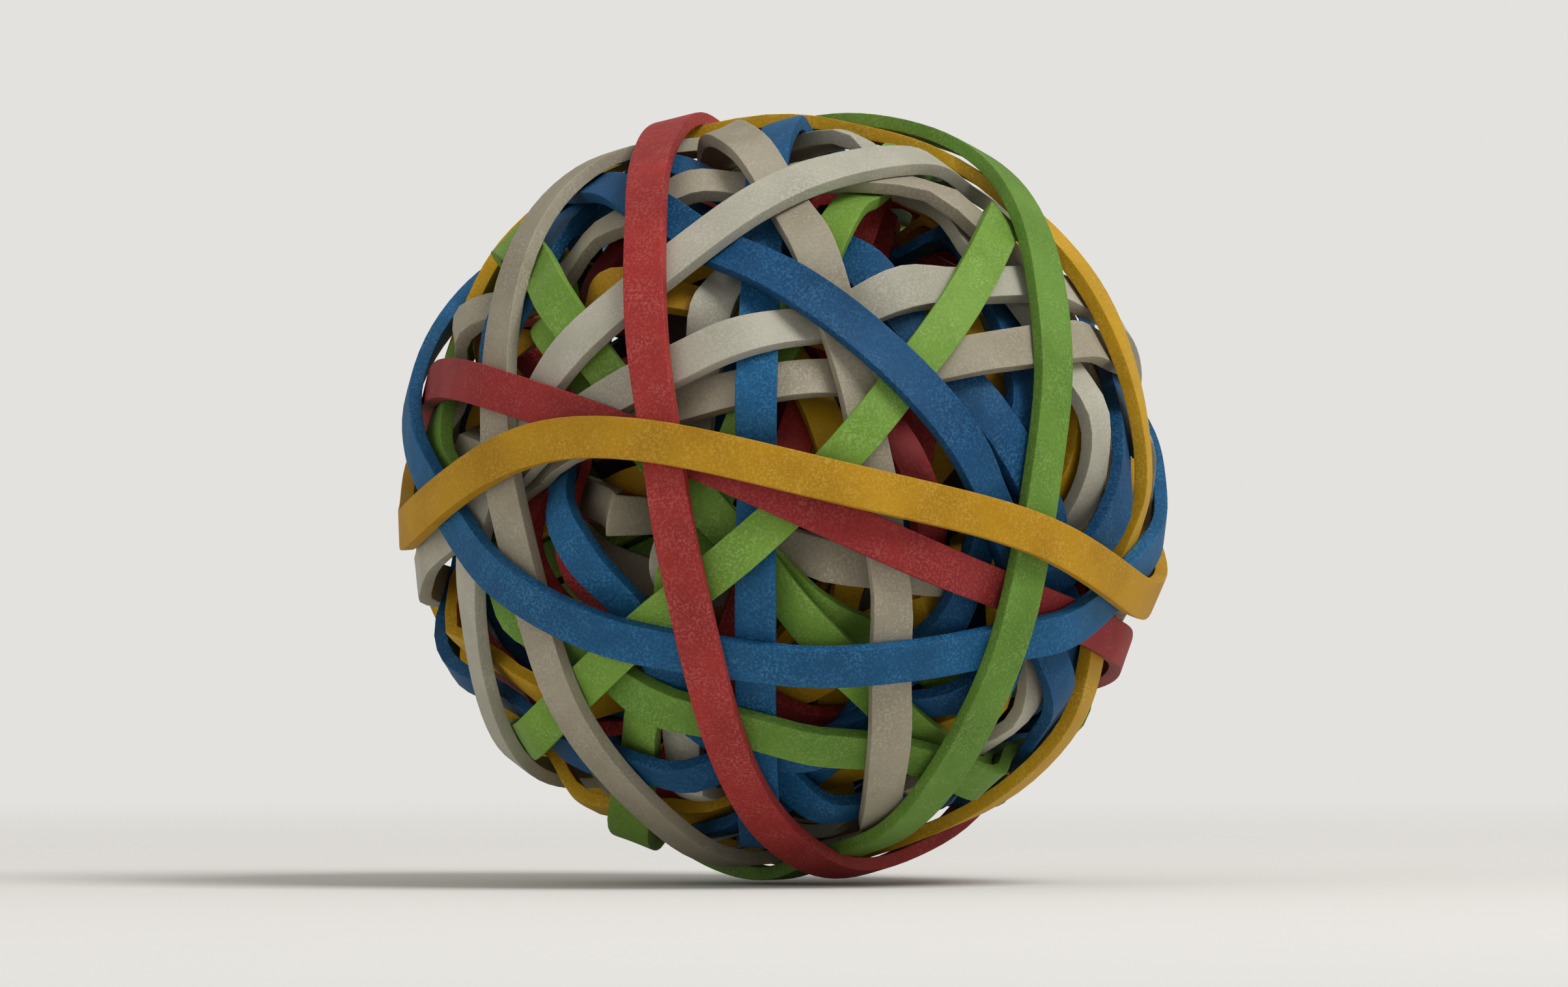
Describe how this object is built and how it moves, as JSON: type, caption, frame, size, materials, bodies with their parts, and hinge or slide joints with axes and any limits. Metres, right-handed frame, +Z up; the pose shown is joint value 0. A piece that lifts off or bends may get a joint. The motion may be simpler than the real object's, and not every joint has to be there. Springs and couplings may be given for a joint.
{
  "type": "rubber band ball",
  "caption": "Ball wound from flat rubber bands in several colours, kept on a desk as a store to pull single bands from.",
  "frame": {"origin": "middle of the ball, which is the middle of its bounding box", "axes": "+Z up as the ball is pictured, -Y towards the side that is pictured, +X to that side's right"},
  "size_m": [0.0592, 0.0602, 0.0596],
  "materials": {
    "red_rubber": "matt",
    "blue_rubber": "matt",
    "green_rubber": "matt",
    "yellow_rubber": "matt",
    "white_rubber": "matt",
    "core_rubber": "matt"
  },
  "bodies": {
    "root": {"wound_core": "core_rubber", "blue_band_01": "blue_rubber", "red_band_02": "red_rubber", "yellow_band_03": "yellow_rubber", "red_band_04": "red_rubber", "yellow_band_05": "yellow_rubber", "red_band_06": "red_rubber", "blue_band_07": "blue_rubber", "yellow_band_08": "yellow_rubber", "red_band_09": "red_rubber", "yellow_band_10": "yellow_rubber", "white_band_11": "white_rubber", "red_band_12": "red_rubber", "yellow_band_13": "yellow_rubber", "white_band_14": "white_rubber", "red_band_15": "red_rubber", "green_band_16": "green_rubber", "blue_band_17": "blue_rubber", "yellow_band_18": "yellow_rubber", "blue_band_19": "blue_rubber", "white_band_20": "white_rubber", "blue_band_21": "blue_rubber", "green_band_22": "green_rubber", "white_band_23": "white_rubber", "blue_band_24": "blue_rubber", "blue_band_25": "blue_rubber", "green_band_26": "green_rubber", "white_band_27": "white_rubber", "blue_band_28": "blue_rubber", "green_band_29": "green_rubber", "white_band_30": "white_rubber", "white_band_31": "white_rubber", "green_band_32": "green_rubber", "blue_band_33": "blue_rubber", "white_band_34": "white_rubber", "white_band_35": "white_rubber", "yellow_band_36": "yellow_rubber", "red_band_37": "red_rubber", "blue_band_38": "blue_rubber", "green_band_39": "green_rubber", "red_band_40": "red_rubber", "yellow_band_41": "yellow_rubber"}
  },
  "joints": []
}
